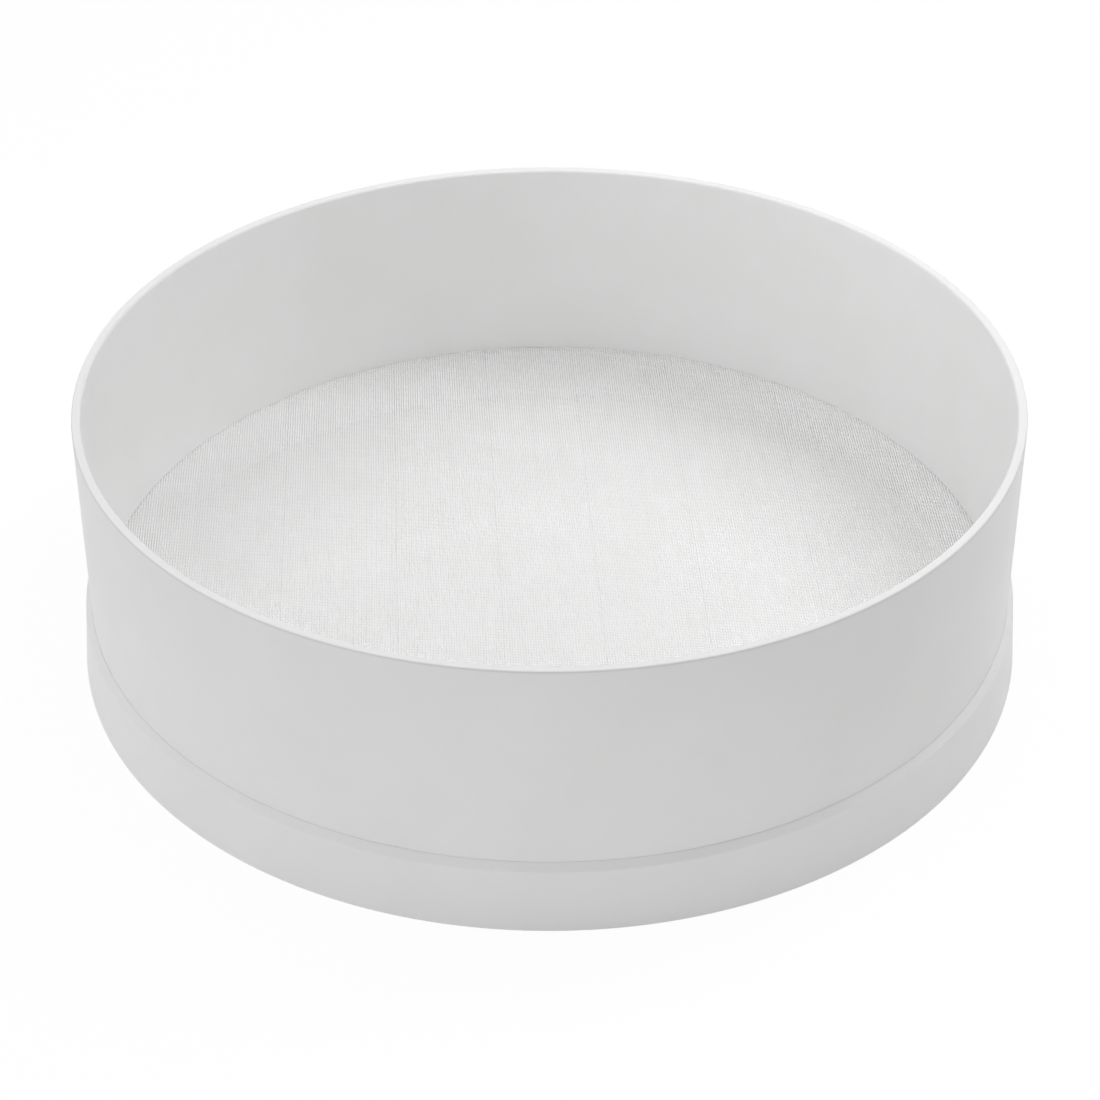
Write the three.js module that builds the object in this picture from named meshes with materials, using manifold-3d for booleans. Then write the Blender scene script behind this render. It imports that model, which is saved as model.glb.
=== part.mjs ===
// A drum sieve for flour: a tall plain hoop with a nylon screen stretched across it near its foot.
// Millimetres, +Z up. The sieve stands on z = 0 with its axis on the z axis.
// The screen is a cloth drawn over the stretcher ring. Its edge is folded down as a skirt, and the
// ring and cloth are pressed up into the foot of the hoop, where an outer band keeps the hoop round.

import * as THREE from 'three';
import { mergeGeometries, mergeVertices } from 'three/addons/utils/BufferGeometryUtils.js';
import Module from 'manifold-3d';

// Hoop
const HOOP_DIAMETER = 300;
const HOOP_WALL = 3;
const SIEVE_HEIGHT = 92;
const RIM_OUTER_ROUND = 0.5;
const RIM_INNER_ROUND = 0.9;
const FOOT_ROUND = 0.5;

// Outer band round the hoop's foot: its outside flares towards the table, and its top is a shoulder
// that slopes up to the hoop
const BAND_TOP_WALL = 1.7;
const BAND_FOOT_WALL = 3.4;
const BAND_HEIGHT = 23.5;
const BAND_SHOULDER = 2.7;
const BAND_FOOT_ROUND = 0.6;

// Stretcher ring inside the hoop's foot
const RING_WALL = 2.5;
const RING_TOP_ROUND = 0.9;

// Nylon screen: SCREEN_LEVEL is the top of the cloth, and SKIRT_FOOT the cut edge of its skirt.
// Each strand of the net stands for a run of the fine threads, as wide as gives the cloth its weight.
const SCREEN_LEVEL = 18.5;
const CLOTH_THICKNESS = 0.5;
const SKIRT_FOOT = 2;
const NET_PITCH = 16;
const NET_STRAND = 2;
const NET_TURN = THREE.MathUtils.degToRad(3);
const SELVEDGE_WIDTH = 2;

// Clearance between pieces that touch, and the fineness of the round shapes
const FIT_GAP = 0.3;
const ROUND_SIDES = 96;
const CORNER_STEPS = 1;

// Sizes that follow from the driving ones
const hoopOuter = HOOP_DIAMETER / 2;
const hoopInner = hoopOuter - HOOP_WALL;
const bandInner = hoopOuter + FIT_GAP;
const skirtOuter = hoopInner - FIT_GAP;
const skirtInner = skirtOuter - CLOTH_THICKNESS;
const ringOuter = skirtInner - FIT_GAP;
const ringInner = ringOuter - RING_WALL;
const clothUnderside = SCREEN_LEVEL - CLOTH_THICKNESS;
const ringTop = clothUnderside - FIT_GAP;
const netRadius = ringInner - SELVEDGE_WIDTH;

// Materials
const whitePlastic = { color: 0xe6e6e4, roughness: 0.42, metalness: 0 };
const whiteNylon = { color: 0xeeeeec, roughness: 0.6, metalness: 0 };

// A ring turned from a section of four corners, each rounded by its own radius: the outside is upright
// unless it has a radius of its own at the foot, and the top is flat unless it has a shoulder
function turnedRing({ inner, outer, footOuter = outer, bottom, top, shoulder = 0, rounds = {} }) {
  const { outerFoot = 0, outerTop = 0, innerTop = 0, innerFoot = 0 } = rounds;
  const corners = [
    { r: footOuter, z: bottom, round: outerFoot, towardAxis: -1, up: 1, start: -Math.PI / 2 },
    { r: outer, z: top - shoulder, round: outerTop, towardAxis: -1, up: -1, start: 0 },
    { r: inner, z: top, round: innerTop, towardAxis: 1, up: -1, start: Math.PI / 2 },
    { r: inner, z: bottom, round: innerFoot, towardAxis: 1, up: 1, start: Math.PI },
  ];
  const section = new THREE.Path();
  section.moveTo(footOuter - outerFoot, bottom);
  for (const { r, z, round, towardAxis, up, start } of corners) {
    if (round > 0) {
      section.absarc(r + towardAxis * round, z + up * round, round, start, start + Math.PI / 2);
    } else {
      section.lineTo(r, z);
    }
  }
  section.closePath();
  const outline = section.getPoints(CORNER_STEPS).filter(
    (point, i, points) => i === 0 || point.distanceTo(points[i - 1]) > 1e-6,
  );
  outline[outline.length - 1].copy(outline[0]);
  return new THREE.LatheGeometry(outline, ROUND_SIDES).rotateX(Math.PI / 2);
}

// Joins and cuts of closed solids
const wasm = await Module();
wasm.setup();

function toSolid(geometry) {
  const bare = geometry.clone();
  bare.deleteAttribute('normal');
  bare.deleteAttribute('uv');
  const merged = mergeVertices(bare);
  return new wasm.Manifold(new wasm.Mesh({
    numProp: 3,
    vertProperties: Float32Array.from(merged.attributes.position.array),
    triVerts: Uint32Array.from(merged.index.array),
  }));
}

function toGeometry(solid) {
  const mesh = solid.getMesh();
  const geometry = new THREE.BufferGeometry();
  geometry.setAttribute('position', new THREE.BufferAttribute(mesh.vertProperties, 3));
  geometry.setIndex(new THREE.BufferAttribute(mesh.triVerts, 1));
  return geometry.toNonIndexed();
}

// The flat screen: a disc with a square grid of gaps, which stop at a plain selvedge round its edge
function netGeometry() {
  const middle = SCREEN_LEVEL - CLOTH_THICKNESS / 2;
  const cutDepth = 2 * CLOTH_THICKNESS;
  const flatDisc = (radius, depth) => {
    const disc = new THREE.CylinderGeometry(radius, radius, depth, ROUND_SIDES);
    return disc.rotateX(Math.PI / 2).translate(0, 0, middle);
  };
  const gapSide = NET_PITCH - NET_STRAND;
  const reach = Math.ceil(netRadius / NET_PITCH);
  const gaps = [];
  for (let column = -reach; column < reach; column += 1) {
    for (let row = -reach; row < reach; row += 1) {
      const gap = new THREE.BoxGeometry(gapSide, gapSide, cutDepth);
      gaps.push(gap.translate((column + 0.5) * NET_PITCH, (row + 0.5) * NET_PITCH, middle));
    }
  }
  const openings = toSolid(mergeGeometries(gaps).rotateZ(NET_TURN));
  const openField = toSolid(flatDisc(netRadius, cutDepth)).intersect(openings);
  return toGeometry(toSolid(flatDisc(skirtOuter, CLOTH_THICKNESS)).subtract(openField));
}

function piece(name, geometry, look) {
  const mesh = new THREE.Mesh(geometry, new THREE.MeshStandardMaterial(look));
  mesh.name = name;
  return mesh;
}

// The sieve's two groups: the hoop with its band, and the screen on its ring that presses into them
const hoopUnit = new THREE.Group();
hoopUnit.add(piece('sieve_hoop', turnedRing({
  inner: hoopInner,
  outer: hoopOuter,
  bottom: 0,
  top: SIEVE_HEIGHT,
  rounds: { outerTop: RIM_OUTER_ROUND, innerTop: RIM_INNER_ROUND, innerFoot: FOOT_ROUND },
}), whitePlastic));
hoopUnit.add(piece('clamp_band', turnedRing({
  inner: bandInner,
  outer: bandInner + BAND_TOP_WALL,
  footOuter: bandInner + BAND_FOOT_WALL,
  bottom: 0,
  top: BAND_HEIGHT,
  shoulder: BAND_SHOULDER,
  rounds: { outerFoot: BAND_FOOT_ROUND },
}), whitePlastic));

const screenUnit = new THREE.Group();
screenUnit.add(piece('stretcher_ring', turnedRing({
  inner: ringInner,
  outer: ringOuter,
  bottom: 0,
  top: ringTop,
  rounds: { outerTop: RING_TOP_ROUND, innerTop: RING_TOP_ROUND, innerFoot: FOOT_ROUND },
}), whitePlastic));
screenUnit.add(piece('mesh_skirt', turnedRing({
  inner: skirtInner,
  outer: skirtOuter,
  bottom: SKIRT_FOOT,
  top: ringTop,
}), whiteNylon));
screenUnit.add(piece('mesh_screen', netGeometry(), whiteNylon));

const sieve = new THREE.Group();
sieve.add(hoopUnit, screenUnit);

export default sieve;
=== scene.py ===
"""A white plastic drum sieve with a woven nylon screen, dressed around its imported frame.

Metres, +Z up, the sieve's axis on the z axis and its foot on z = 0.
"""
import math

import bpy
import numpy as np
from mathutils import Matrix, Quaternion, Vector


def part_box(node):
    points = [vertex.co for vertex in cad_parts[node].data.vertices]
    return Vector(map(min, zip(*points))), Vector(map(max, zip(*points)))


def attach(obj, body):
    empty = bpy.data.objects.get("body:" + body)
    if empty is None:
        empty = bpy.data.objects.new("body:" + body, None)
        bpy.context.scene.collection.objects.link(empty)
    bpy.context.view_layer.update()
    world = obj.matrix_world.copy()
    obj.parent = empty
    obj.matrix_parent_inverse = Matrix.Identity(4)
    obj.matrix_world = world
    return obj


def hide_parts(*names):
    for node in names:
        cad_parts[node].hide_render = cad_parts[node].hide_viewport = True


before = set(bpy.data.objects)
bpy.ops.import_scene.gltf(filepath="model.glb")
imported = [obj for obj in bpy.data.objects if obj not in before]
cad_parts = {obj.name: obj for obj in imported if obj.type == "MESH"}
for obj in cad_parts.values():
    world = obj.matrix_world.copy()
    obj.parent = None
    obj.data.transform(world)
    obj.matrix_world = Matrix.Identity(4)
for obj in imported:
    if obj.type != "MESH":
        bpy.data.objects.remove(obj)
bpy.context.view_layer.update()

MM = 0.001

# The photograph's camera, from its fit to the rim and foot
CAMERA_AIM = Vector((0.00013, 0.0, 0.02806))
CAMERA_DISTANCE = 0.9228
CAMERA_ELEVATION = math.radians(34.83)
CAMERA_ROLL = math.radians(-0.08)
PHOTO_SIDE_PX = 1100
PHOTO_FOCAL_PX = 2800
SENSOR_MM = 36.0

# Plastic rings
ROUND_STEPS = 384
CORNER_STEPS = 6
ROW_HEIGHT = 6 * MM
EDGE_ROW = 0.15 * MM
HOOP_WALL = 3 * MM
BAND_FLARE = 1.7 * MM
BAND_SHOULDER = 2.3 * MM
RING_WALL = 2.5 * MM
SEAM_GAP = 0.02 * MM
SEAM_ROUND = 0.08 * MM
RIM_OUTER_ROUND = 0.5 * MM
RIM_INNER_ROUND = 0.9 * MM
BAND_FOOT_ROUND = 0.6 * MM
RING_TOP_ROUND = 0.9 * MM
FOOT_ROUND = 0.5 * MM
TINY_ROUND = 0.25 * MM

# Woven cloth of three-sided threads, each with a ridge and two lower corners
THREAD_PITCH = 0.85 * MM
THREAD_WIDTH = 0.52 * MM
THREAD_HEIGHT = 0.12 * MM
THREAD_SIDES = 3
THREAD_ACROSS = THREAD_WIDTH * np.array([0, -0.5, 0.5])
THREAD_UP = THREAD_HEIGHT * np.array([0.5, -0.5, -0.5])
WEAVE_RISE = 0.06 * MM
WEAVE_TURN = math.radians(3)
CLOTH_STRIPS = 7
SKIRT_HALVES = 2

# Slow drift of the cloth: how far it goes, and its waves (radians per metre along u and v, start)
DRIFT = 0.25 * MM
DRIFT_WAVES = ((61.0, 23.0, 0.4), (-31.0, 74.0, 1.9), (97.0, -58.0, 3.1))

# The order in which the threads take their tones, which looks random
TONE_STRIDE = 7
TONE_CYCLE = 5

# Look of the white plastic, with painted shade that makes its rim top greyer
PLASTIC_GREY = 0.82
PLASTIC_ROUGHNESS = 0.5
PLASTIC_IOR = 1.49
PLASTIC_CLOUD_SCALE = 28.0
PLASTIC_SCUFF_SCALE = 140.0
GRAIN_SCALE = 1400.0
GRAIN_STRENGTH = 0.12
GRAIN_DEPTH = 0.1 * MM
# Painted shade on the rim top: its tones, darkest on the outer edge, and how deep from the top it
# starts and is full
RIM_PAINTED_SHADE_TONE = 0.855
RIM_EDGE_PAINTED_SHADE_TONE = 0.82
RIM_SHADE_DEPTH = 0.9 * MM
FULL_RIM_SHADE_DEPTH = 0.3 * MM

# Look of the nylon, in three tones
NYLON_GREYS = (0.95, 0.94, 0.96)
NYLON_ROUGHNESS = 0.45
NYLON_IOR = 1.53
NYLON_CLOUD_SCALE = 45.0
NYLON_SCUFF_SCALE = 220.0

# Faint changes of tone and gloss over both, between these two values of a noise
NOISE_ENDS = (0.3, 0.7)
DARK_CLOUD = (0.985, 0.985, 0.98)
LIGHT_CLOUD = (1.01, 1.01, 1.01)
GLOSS_CHANGE = (-0.04, 0.05)

# Light: a soft sky in front and on the left, and three soft lamps (place, side in metres, watts)
WHITE = (1, 1, 1, 1)
LIGHT_BOUNCES = 12  # enough for white surfaces that face each other
SKY_TOWARDS = ((0.0, -0.75, 0.0), (-0.82, 0.0, 0.0))
LAMPS = {
    "overhead_lamp": (Vector((0.0, 0.0, 0.75)), 0.45, 2.2),
    "rear_left_lamp": (Vector((-0.6, 0.35, 0.9)), 0.5, 1.3),
    "rear_right_lamp": (Vector((0.6, 0.35, 0.9)), 0.5, 5.9),
}
LAMP_AIM = Vector((0.0, 0.0, 0.05))

# Floor: how much of it shows as white, its own grey, and the rings' soft shade under the screen
FLOOR_WHITE = 0.95
FLOOR_WHITE_UNDER = 0.8
FLOOR_GREY = 0.95
FLOOR_GREY_SHADED = 0.55
FLOOR_HALF = 30.0
FLOOR_DROP = 0.2 * MM
SIEVE_CENTRE = (0.0, 0.0, 0.0)
UNDER_SIEVE = 0.148
BRIGHT_PLACE = (0.0, -0.05, 0.0)  # the shade deepens away from here
SHADE_ENDS = (0.11, 0.19)


def node_edge(node):
    """A round node's outer radius, lowest and highest point."""
    low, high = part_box(node)
    return high[0], low[2], high[2]


def corner(r, z, radius, start):
    """A quarter circle inside the corner (r, z), turning left from the angle start."""
    if radius == 0:
        return [(r, z)]
    inward = start + math.pi * 0.25 + math.pi
    centre = (
        r + math.copysign(radius, math.cos(inward)),
        z + math.copysign(radius, math.sin(inward)),
    )
    angles = np.linspace(start, start + math.pi / 2, CORNER_STEPS + 1)
    return [(centre[0] + radius * math.cos(a), centre[1] + radius * math.sin(a)) for a in angles]


def rows_between(p, q):
    """Points along a straight stretch: a narrow row at each end, so that shading stays flat."""
    length = math.dist(p, q)
    if length < 4 * EDGE_ROW:
        return []
    count = max(1, round((length - 2 * EDGE_ROW) / ROW_HEIGHT))
    steps = np.linspace(EDGE_ROW, length - EDGE_ROW, count + 1) / length
    return [(p[0] + (q[0] - p[0]) * t, p[1] + (q[1] - p[1]) * t) for t in steps]


def ring_section(inner, foot_outer, top_outer, bottom, top, rounds, shoulder=0.0):
    """The closed outline of a ring's wall, with a corner at each end of its two sides.

    Each corner has its own round, and the top slopes down outward by the height of the shoulder.
    """
    outer_foot, outer_top, inner_top, inner_foot = rounds
    quarters = [
        corner(foot_outer, bottom, outer_foot, -math.pi / 2),
        corner(top_outer, top - shoulder, outer_top, 0),
        corner(inner, top, inner_top, math.pi / 2),
        corner(inner, bottom, inner_foot, math.pi),
    ]
    points = []
    for i, quarter in enumerate(quarters):
        points += quarter
        points += rows_between(quarter[-1], quarters[(i + 1) % len(quarters)][0])
    return points


def mesh_object(name, vertices, faces, materials, face_materials=None):
    """A mesh from arrays of points and faces: four-cornered ones are smooth, end caps are flat."""
    mesh = bpy.data.meshes.new(name)
    counts = np.concatenate([np.full(len(f), f.shape[1], np.int32) for f in faces])
    starts = np.concatenate([[0], np.cumsum(counts)[:-1]]).astype(np.int32)
    corners = np.concatenate([f.ravel() for f in faces]).astype(np.int32)
    mesh.vertices.add(len(vertices))
    mesh.vertices.foreach_set("co", np.asarray(vertices, np.float32).ravel())
    mesh.loops.add(len(corners))
    mesh.loops.foreach_set("vertex_index", corners)
    mesh.polygons.add(len(counts))
    mesh.polygons.foreach_set("loop_start", starts)
    mesh.polygons.foreach_set("use_smooth", counts == 4)
    for material in materials:
        mesh.materials.append(material)
    if face_materials is not None:
        mesh.polygons.foreach_set("material_index", face_materials.astype(np.int32))
    mesh.update(calc_edges=True)
    piece = bpy.data.objects.new(name, mesh)
    bpy.context.scene.collection.objects.link(piece)
    return piece


def turned_piece(name, section, material):
    """A ring turned round the z axis from a closed section."""
    section = np.array(section)
    count = len(section)
    angles = np.linspace(0, 2 * math.pi, ROUND_STEPS, endpoint=False)
    r = section[None, :, 0]
    points = np.stack(
        [
            r * np.cos(angles)[:, None],
            r * np.sin(angles)[:, None],
            np.broadcast_to(section[None, :, 1], (ROUND_STEPS, count)),
        ],
        axis=-1,
    ).reshape(-1, 3)
    step, row = np.meshgrid(np.arange(ROUND_STEPS), np.arange(count), indexing="ij")
    next_step, next_row = (step + 1) % ROUND_STEPS, (row + 1) % count
    quads = np.stack(
        [
            step * count + row,
            next_step * count + row,
            next_step * count + next_row,
            step * count + next_row,
        ],
        axis=-1,
    ).reshape(-1, 4)
    return mesh_object(name, points, [quads], [material])


def strands(threads, along_v):
    """Threads of one direction in cloth coordinates (u, v, h), as points, sides, ends and owners.

    Each thread lies at its own fixed place and runs through its own knots, rising and falling
    to the height given for each knot. It is a closed bar, and owners number the thread of each side.
    """
    points, quads, caps, owners = [], [], [], []
    base = 0
    side = np.arange(THREAD_SIDES)
    next_side = (side + 1) % THREAD_SIDES
    for number, (place, knots, rise) in enumerate(threads):
        count = len(knots)
        across = place + THREAD_ACROSS[None, :] + np.zeros((count, 1))
        along = np.broadcast_to(knots[:, None], (count, THREAD_SIDES))
        height = rise[:, None] + THREAD_UP[None, :]
        order = (across, along, height) if along_v else (along, across, height)
        points.append(np.stack(order, axis=-1).reshape(-1, 3))
        here = base + THREAD_SIDES * np.arange(count - 1)[:, None]
        there = here + THREAD_SIDES
        corners = [here + side, there + side, there + next_side, here + next_side]
        sides = np.stack(corners, axis=-1).reshape(-1, 4)
        ends = base + np.stack([side, THREAD_SIDES * count - 1 - side])
        quads.append(sides if along_v else sides[:, ::-1])
        caps.append(ends if along_v else ends[:, ::-1])
        owners.append(np.full(len(sides), number))
        base += THREAD_SIDES * count
    return [np.concatenate(held) for held in (points, quads, caps, owners)]


def woven_piece(name, warp, weft, place, materials):
    """One mesh of crossed threads, put in its place by a map from cloth coordinates."""
    warp_points, warp_quads, warp_caps, warp_owners = strands(warp, along_v=True)
    weft_points, weft_quads, weft_caps, weft_owners = strands(weft, along_v=False)
    offset = len(warp_points)
    points = place(np.concatenate([warp_points, weft_points]))
    quads = np.concatenate([warp_quads, weft_quads + offset])
    caps = np.concatenate([warp_caps, weft_caps + offset])
    owners = np.concatenate([warp_owners, weft_owners + 1])
    tones = owners * TONE_STRIDE % TONE_CYCLE % len(materials)
    face_tones = np.concatenate([tones, np.zeros(len(caps), int)])
    return mesh_object(name, points, [quads, caps], materials, face_tones)


def alternate(i, j):
    """Plain weave: over at every other crossing."""
    return WEAVE_RISE * np.where((i + j) % 2 == 0, 1.0, -1.0)


def flat_place(level, reach):
    """Cloth coordinates to the flat screen, with the slow drift of real cloth inside its edge."""
    cos, sin = math.cos(WEAVE_TURN), math.sin(WEAVE_TURN)

    def place(points):
        u, v, h = points.T
        drift = DRIFT / len(DRIFT_WAVES) * (1 - (u * u + v * v) / reach**2)
        drift_u = sum(np.sin(a * u + b * v + c) for a, b, c in DRIFT_WAVES) * drift
        drift_v = sum(np.cos(b * u - a * v + 2 * c) for a, b, c in DRIFT_WAVES) * drift
        u, v = u + drift_u, v + drift_v
        return np.stack([u * cos - v * sin, u * sin + v * cos, h + level], axis=-1)

    return place


def skirt_place(radius):
    """Cloth coordinates to the skirt: u runs round the ring, v runs up and h points outward."""

    def place(points):
        u, v, h = points.T
        angle = u / radius
        return np.stack([(radius + h) * np.cos(angle), (radius + h) * np.sin(angle), v], axis=-1)

    return place


def half_chord(index, reach):
    """Half the length of one thread of the round screen."""
    return math.sqrt(reach**2 - (index * THREAD_PITCH) ** 2)


def thread_run(index, reach, low, high):
    """Where one thread of the round screen runs between two limits, and its height there.

    It has a knot at every crossing, and it ends at the screen's edge or at a limit, given as a
    thread number.
    """
    half = half_chord(index, reach)
    last = math.ceil(half / THREAD_PITCH)
    crossings = np.arange(-last, last + 1)
    start, end = max(-half, low * THREAD_PITCH), min(half, high * THREAD_PITCH)
    knots = crossings * THREAD_PITCH
    inner = knots[(knots > start) & (knots < end)]
    run = np.concatenate([[start], inner, [end]])
    return run, np.interp(run, knots, alternate(index, crossings))


def screen_strip(name, first, last, reach, place, materials):
    """The part of the round screen from one warp thread to another, with all its weft."""
    most = int(reach / THREAD_PITCH)
    left, right = first - 0.5, last - 0.5
    warp, weft = [], []
    for i in range(first, last):
        run, height = thread_run(i, reach, -most - 1, most + 1)
        warp.append((i * THREAD_PITCH, run, height))
    for j in range(-most, most + 1):
        half = half_chord(j, reach) / THREAD_PITCH
        if -half < right and half > left:
            run, height = thread_run(j, reach, left, right)
            weft.append((j * THREAD_PITCH, run, -height))
    return woven_piece(name, warp, weft, place, materials)


def skirt_part(name, first, last, count, radius, bottom, top, materials):
    """An arc of the skirt between two upright threads, with the threads that run round it."""
    pitch = 2 * math.pi * radius / count
    rows = int((top - bottom) / THREAD_PITCH)
    levels = np.linspace(bottom, top, rows + 1)
    i, j = np.arange(first, last + 1), np.arange(rows + 1)
    uprights = [(k * pitch, levels, alternate(k, j)) for k in i[:-1]]
    rounds = [(level, i * pitch, -alternate(i, k)) for k, level in enumerate(levels)]
    return woven_piece(name, uprights, rounds, skirt_place(radius), materials)


class Nodes:
    """A short way to add and join nodes of one material or world."""

    def __init__(self, owner):
        owner.use_nodes = True
        self.tree = owner.node_tree
        self.tree.nodes.clear()

    def add(self, kind, **inputs):
        node = self.tree.nodes.new(kind)
        for name, value in inputs.items():
            self.set(node, name.replace("_", " "), value)
        return node

    def math(self, operation, *values):
        node = self.tree.nodes.new("ShaderNodeMath")
        node.operation = operation
        for place, value in enumerate(values):
            self.set(node, place, value)
        return node.outputs[0]

    def of_vectors(self, operation, first, second):
        """A number that two vectors give, such as their distance."""
        node = self.tree.nodes.new("ShaderNodeVectorMath")
        node.operation = operation
        self.set(node, 0, first)
        self.set(node, 1, second)
        return node.outputs["Value"]

    def set(self, node, name, value):
        socket = node.inputs[name]
        if isinstance(value, bpy.types.NodeSocket):
            self.tree.links.new(value, socket)
        else:
            socket.default_value = value


def ramp(nodes, value, start_end, low_high):
    """A value brought from one range to another, held at the ends."""
    node = nodes.add("ShaderNodeMapRange", Value=value)
    limits = (*start_end, *low_high)
    for name, limit in zip(("From Min", "From Max", "To Min", "To Max"), limits):
        nodes.set(node, name, limit)
    return node.outputs["Result"]


def mix_shaders(nodes, factor, first, second):
    mix = nodes.add("ShaderNodeMixShader")
    for place, value in enumerate((factor, first, second)):
        nodes.set(mix, place, value)
    return mix.outputs[0]


def rim_painted_shade(nodes, where, colour):
    """The colour, made greyer on the rim and most on its outer edge by painted shade."""
    outer, _, rim = node_edge("sieve_hoop")
    split = nodes.add("ShaderNodeSeparateXYZ", Vector=where)
    x, y, height = (split.outputs[axis] for axis in "XYZ")
    squares = nodes.math("ADD", nodes.math("MULTIPLY", x, x), nodes.math("MULTIPLY", y, y))
    radius = nodes.math("SQRT", squares)
    # painted shade over the whole rim top, deepest on its outer round
    edge = ramp(nodes, radius, (outer - RIM_OUTER_ROUND, outer), (1 - RIM_PAINTED_SHADE_TONE, 1 - RIM_EDGE_PAINTED_SHADE_TONE))
    rim_shade = ramp(nodes, height, (rim - RIM_SHADE_DEPTH, rim - FULL_RIM_SHADE_DEPTH), (0.0, 1.0))
    shaded_colour = nodes.add("ShaderNodeVectorMath")
    shaded_colour.operation = "SCALE"
    nodes.set(shaded_colour, "Vector", colour)
    nodes.set(shaded_colour, "Scale", nodes.math("SUBTRACT", 1.0, nodes.math("MULTIPLY", edge, rim_shade)))
    return shaded_colour.outputs["Vector"]


def cloudy_tone(nodes, where, grey, scale):
    """A near-white grey with faint clouds, slightly warmer where it is darker."""
    cloud = nodes.add("ShaderNodeTexNoise", Vector=where, Scale=scale, Detail=3.0, Roughness=0.55)
    tone = nodes.add("ShaderNodeValToRGB", Fac=cloud.outputs["Fac"])
    for stop, place, tint in zip(tone.color_ramp.elements, NOISE_ENDS, (DARK_CLOUD, LIGHT_CLOUD)):
        stop.position = place
        stop.color = (*(grey * part for part in tint), 1)
    return tone.outputs["Color"]


def uneven_gloss(nodes, where, roughness, scale):
    """A roughness that varies a little from place to place."""
    scuff = nodes.add("ShaderNodeTexNoise", Vector=where, Scale=scale, Detail=4.0, Roughness=0.6)
    limits = [roughness + change for change in GLOSS_CHANGE]
    return ramp(nodes, scuff.outputs["Fac"], NOISE_ENDS, limits)


def white_plastic(name):
    """Satin moulded plastic: faint cloudy tone, uneven gloss and a fine moulded grain."""
    material = bpy.data.materials.new(name)
    nodes = Nodes(material)
    where = nodes.add("ShaderNodeTexCoord").outputs["Object"]
    tone = cloudy_tone(nodes, where, PLASTIC_GREY, PLASTIC_CLOUD_SCALE)
    grain = nodes.add("ShaderNodeTexNoise", Vector=where, Scale=GRAIN_SCALE, Detail=2.0, Roughness=0.5)
    bump = nodes.add(
        "ShaderNodeBump",
        Height=grain.outputs["Fac"],
        Strength=GRAIN_STRENGTH,
        Distance=GRAIN_DEPTH,
    )
    shader = nodes.add(
        "ShaderNodeBsdfPrincipled",
        # the base colour carries painted shade on the rim top
        Base_Color=rim_painted_shade(nodes, where, tone),
        Roughness=uneven_gloss(nodes, where, PLASTIC_ROUGHNESS, PLASTIC_SCUFF_SCALE),
        IOR=PLASTIC_IOR,
        Normal=bump.outputs["Normal"],
    )
    nodes.add("ShaderNodeOutputMaterial", Surface=shader.outputs["BSDF"])
    return material


def nylon(name, grey):
    """One tone of the white monofilament: the weave itself is in the mesh."""
    material = bpy.data.materials.new(name)
    nodes = Nodes(material)
    where = nodes.add("ShaderNodeTexCoord").outputs["Object"]
    shader = nodes.add(
        "ShaderNodeBsdfPrincipled",
        Base_Color=cloudy_tone(nodes, where, grey, NYLON_CLOUD_SCALE),
        Roughness=uneven_gloss(nodes, where, NYLON_ROUGHNESS, NYLON_SCUFF_SCALE),
        IOR=NYLON_IOR,
    )
    nodes.add("ShaderNodeOutputMaterial", Surface=shader.outputs["BSDF"])
    return material


def seen_directly(nodes):
    """1 for rays from the camera, mirrored or let through too, and 0 for light that falls on things."""
    path = nodes.add("ShaderNodeLightPath")
    either = nodes.math("MAXIMUM", path.outputs["Is Camera Ray"], path.outputs["Is Glossy Ray"])
    return nodes.math("MAXIMUM", either, path.outputs["Is Transmission Ray"])


def pale_floor():
    """Matt and pale. It shows nearly white, is shaded under the screen and is clear from below."""
    material = bpy.data.materials.new("pale_floor")
    nodes = Nodes(material)
    where = nodes.add("ShaderNodeTexCoord").outputs["Object"]
    from_centre = nodes.of_vectors("DISTANCE", where, SIEVE_CENTRE)
    from_bright = nodes.of_vectors("DISTANCE", where, BRIGHT_PLACE)
    outside = nodes.math("GREATER_THAN", from_centre, UNDER_SIEVE)
    inside = nodes.math("SUBTRACT", 1.0, outside)

    loss = ramp(nodes, from_bright, SHADE_ENDS, (0.0, FLOOR_GREY - FLOOR_GREY_SHADED))
    grey = nodes.math("SUBTRACT", FLOOR_GREY, nodes.math("MULTIPLY", inside, loss))
    matt = nodes.add("ShaderNodeBsdfDiffuse", Color=grey)

    white = nodes.add("ShaderNodeEmission", Color=WHITE, Strength=1.0)
    under = ramp(nodes, from_bright, SHADE_ENDS, (FLOOR_WHITE_UNDER, 0.0))
    under_screen = nodes.math("MULTIPLY", inside, under)
    white_share = nodes.math("MULTIPLY_ADD", outside, FLOOR_WHITE, under_screen)
    seen_share = nodes.math("MULTIPLY", seen_directly(nodes), white_share)
    from_above = mix_shaders(nodes, seen_share, matt.outputs[0], white.outputs[0])

    behind = nodes.add("ShaderNodeNewGeometry").outputs["Backfacing"]
    camera_ray = nodes.add("ShaderNodeLightPath").outputs["Is Camera Ray"]
    seen_from_below = nodes.math("MULTIPLY", behind, camera_ray)
    clear = nodes.add("ShaderNodeBsdfTransparent")
    surface = mix_shaders(nodes, seen_from_below, from_above, clear.outputs[0])
    nodes.add("ShaderNodeOutputMaterial", Surface=surface)
    return material


def make_floor():
    half = FLOOR_HALF
    corners = [(-half, -half), (half, -half), (half, half), (-half, half)]
    points = np.array([(x, y, -FLOOR_DROP) for x, y in corners])
    floor = mesh_object("floor", points, [np.array([[0, 1, 2, 3]])], [pale_floor()])


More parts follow.
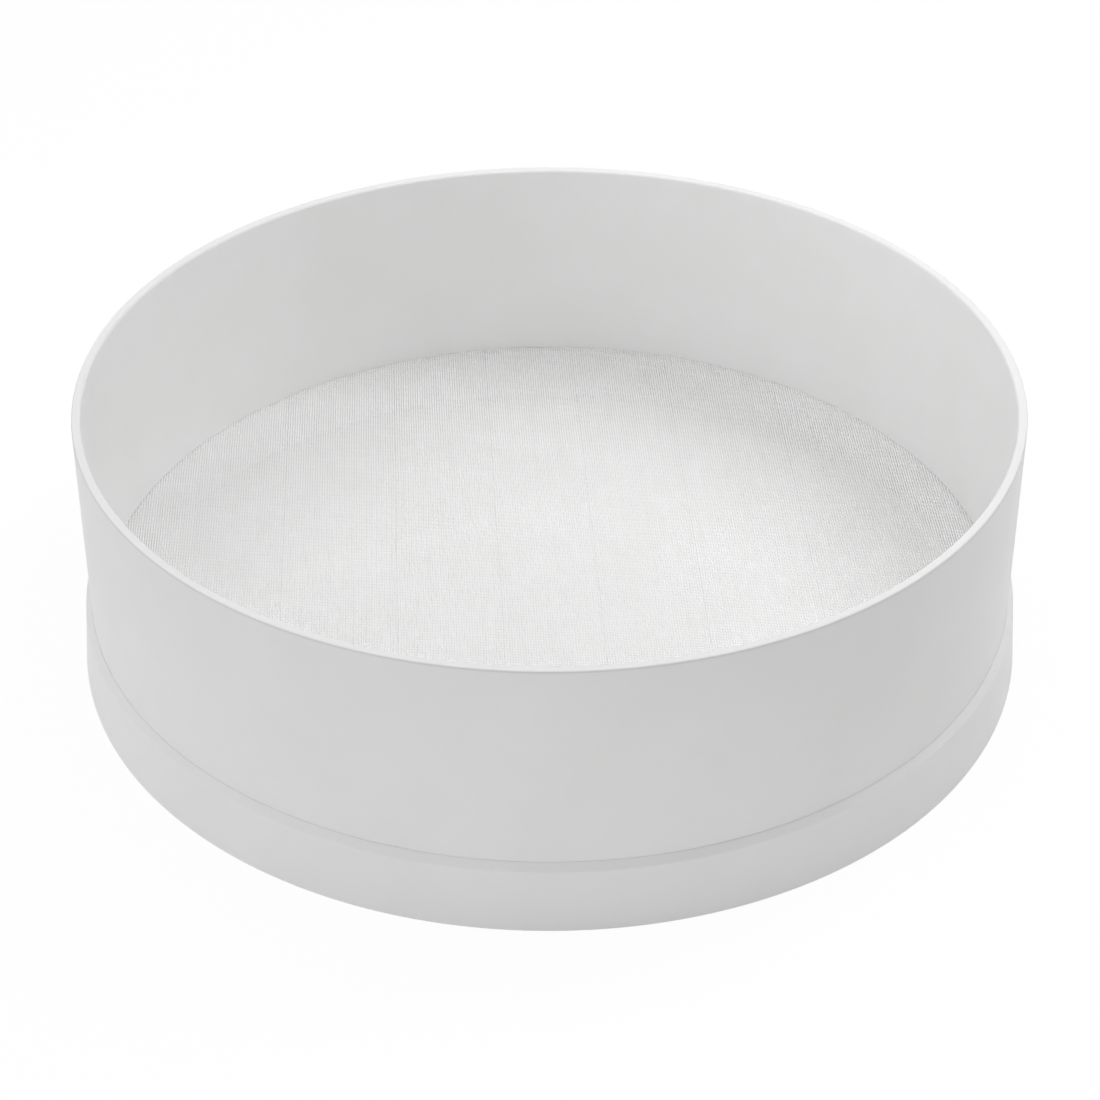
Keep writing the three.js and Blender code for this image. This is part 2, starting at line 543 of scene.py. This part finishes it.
def make_world():
    """A soft sky that grows along each of its directions and ends beside it. It shows as white."""
    world = bpy.data.worlds.new("studio")
    bpy.context.scene.world = world
    nodes = Nodes(world)
    toward = nodes.add("ShaderNodeTexCoord").outputs["Generated"]
    strength = 0.0
    for direction in SKY_TOWARDS:
        facing = nodes.of_vectors("DOT_PRODUCT", toward, direction)
        strength = nodes.math("ADD", strength, nodes.math("MAXIMUM", facing, 0.0))
    sky = nodes.add("ShaderNodeBackground", Color=WHITE, Strength=strength)
    white = nodes.add("ShaderNodeBackground", Color=WHITE, Strength=1.0)
    mixed = mix_shaders(nodes, seen_directly(nodes), sky.outputs[0], white.outputs[0])
    nodes.add("ShaderNodeOutputWorld", Surface=mixed)


def make_lamps():
    for name, (place, side, watts) in LAMPS.items():
        data = bpy.data.lights.new(name, "AREA")
        data.size = side
        data.energy = watts
        lamp = bpy.data.objects.new(name, data)
        lamp.location = place
        lamp.rotation_euler = (LAMP_AIM - place).to_track_quat("-Z", "Y").to_euler()
        lamp.visible_camera = False
        lamp.visible_glossy = False
        bpy.context.scene.collection.objects.link(lamp)


def make_camera():
    data = bpy.data.cameras.new("camera")
    data.sensor_width = SENSOR_MM
    data.lens = SENSOR_MM * PHOTO_FOCAL_PX / PHOTO_SIDE_PX
    camera = bpy.data.objects.new("camera", data)
    back = Vector((0, -math.cos(CAMERA_ELEVATION), math.sin(CAMERA_ELEVATION)))
    camera.location = CAMERA_AIM + back * CAMERA_DISTANCE
    level = (-back).to_track_quat("-Z", "Y")
    camera.rotation_euler = (level @ Quaternion((0, 0, 1), CAMERA_ROLL)).to_euler()
    bpy.context.scene.collection.objects.link(camera)
    bpy.context.scene.camera = camera


def settle(piece, body, node):
    """A finished piece rides on its body and stands for its node."""
    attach(piece, body)
    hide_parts(node)


def make_hoop(plastic):
    outer, bottom, top = node_edge("sieve_hoop")
    rounds = (TINY_ROUND, RIM_OUTER_ROUND, RIM_INNER_ROUND, FOOT_ROUND)
    section = ring_section(outer - HOOP_WALL, outer, outer, bottom, top, rounds)
    settle(turned_piece("hoop", section, plastic), "hoop_unit", "sieve_hoop")


def make_band(plastic):
    outer, bottom, top = node_edge("clamp_band")
    inner = node_edge("sieve_hoop")[0] + SEAM_GAP
    rounds = (BAND_FOOT_ROUND, 0.0, SEAM_ROUND, TINY_ROUND)
    section = ring_section(inner, outer, outer - BAND_FLARE, bottom, top, rounds, BAND_SHOULDER)
    settle(turned_piece("band", section, plastic), "hoop_unit", "clamp_band")


def make_stretcher(plastic):
    outer, bottom, top = node_edge("stretcher_ring")
    rounds = (TINY_ROUND, RING_TOP_ROUND, RING_TOP_ROUND, FOOT_ROUND)
    section = ring_section(outer - RING_WALL, outer, outer, bottom, top, rounds)
    stretcher = turned_piece("stretcher", section, plastic)
    settle(stretcher, "screen_unit", "stretcher_ring")


def strip_area(low, high, reach):
    """The area of a disc between two parallel lines."""

    def below(x):
        x = min(max(x / reach, -1.0), 1.0)
        return reach**2 * (x * math.sqrt(1 - x * x) + math.asin(x))

    return below(high) - below(low)


def equal_strips(reach):
    """Thread numbers that cut the round screen into strips of about the same area."""
    most = int(reach / THREAD_PITCH)
    numbers = np.arange(-most, most + 2)
    areas = np.array([strip_area(-reach, n * THREAD_PITCH, reach) for n in numbers])
    wanted = np.linspace(0, areas[-1], CLOTH_STRIPS + 1)
    cuts = [int(numbers[np.argmin(abs(areas - w))]) for w in wanted]
    cuts[0], cuts[-1] = -most, most + 1
    return cuts


def make_screen(threads):
    """The flat cloth, in strips that follow its threads and meet half way between two of them."""
    top = node_edge("mesh_screen")[2]
    reach = node_edge("sieve_hoop")[0] - HOOP_WALL - SEAM_GAP
    place = flat_place(top - WEAVE_RISE - THREAD_HEIGHT / 2, reach)
    cuts = equal_strips(reach)
    for number, (first, last) in enumerate(zip(cuts, cuts[1:]), start=1):
        strip = screen_strip(f"screen_{number}", first, last, reach, place, threads)
        settle(strip, "screen_unit", "mesh_screen")
        low, high = (first - 0.5) * THREAD_PITCH, (last - 0.5) * THREAD_PITCH
        area = strip_area(low, high, reach)


def make_skirt(threads):
    """The cloth's edge, folded down between the stretcher and the hoop."""
    outer, bottom, top = node_edge("mesh_skirt")
    radius = outer - WEAVE_RISE - THREAD_HEIGHT / 2
    count = 2 * round(math.pi * radius / THREAD_PITCH)
    cuts = np.linspace(0, count, SKIRT_HALVES + 1).astype(int)
    for number, (first, last) in enumerate(zip(cuts, cuts[1:]), start=1):
        arc = skirt_part(f"skirt_{number}", first, last, count, radius, bottom, top, threads)
        settle(arc, "screen_unit", "mesh_skirt")


bpy.context.scene.view_settings.view_transform = "Standard"
bpy.context.scene.cycles.diffuse_bounces = LIGHT_BOUNCES
make_camera()
make_world()
make_lamps()
make_floor()

plastic_white = white_plastic("white_plastic")
nylon_tones = [nylon(f"nylon_{i}", grey) for i, grey in enumerate(NYLON_GREYS, start=1)]
make_hoop(plastic_white)
make_band(plastic_white)
make_stretcher(plastic_white)
make_screen(nylon_tones)
make_skirt(nylon_tones)
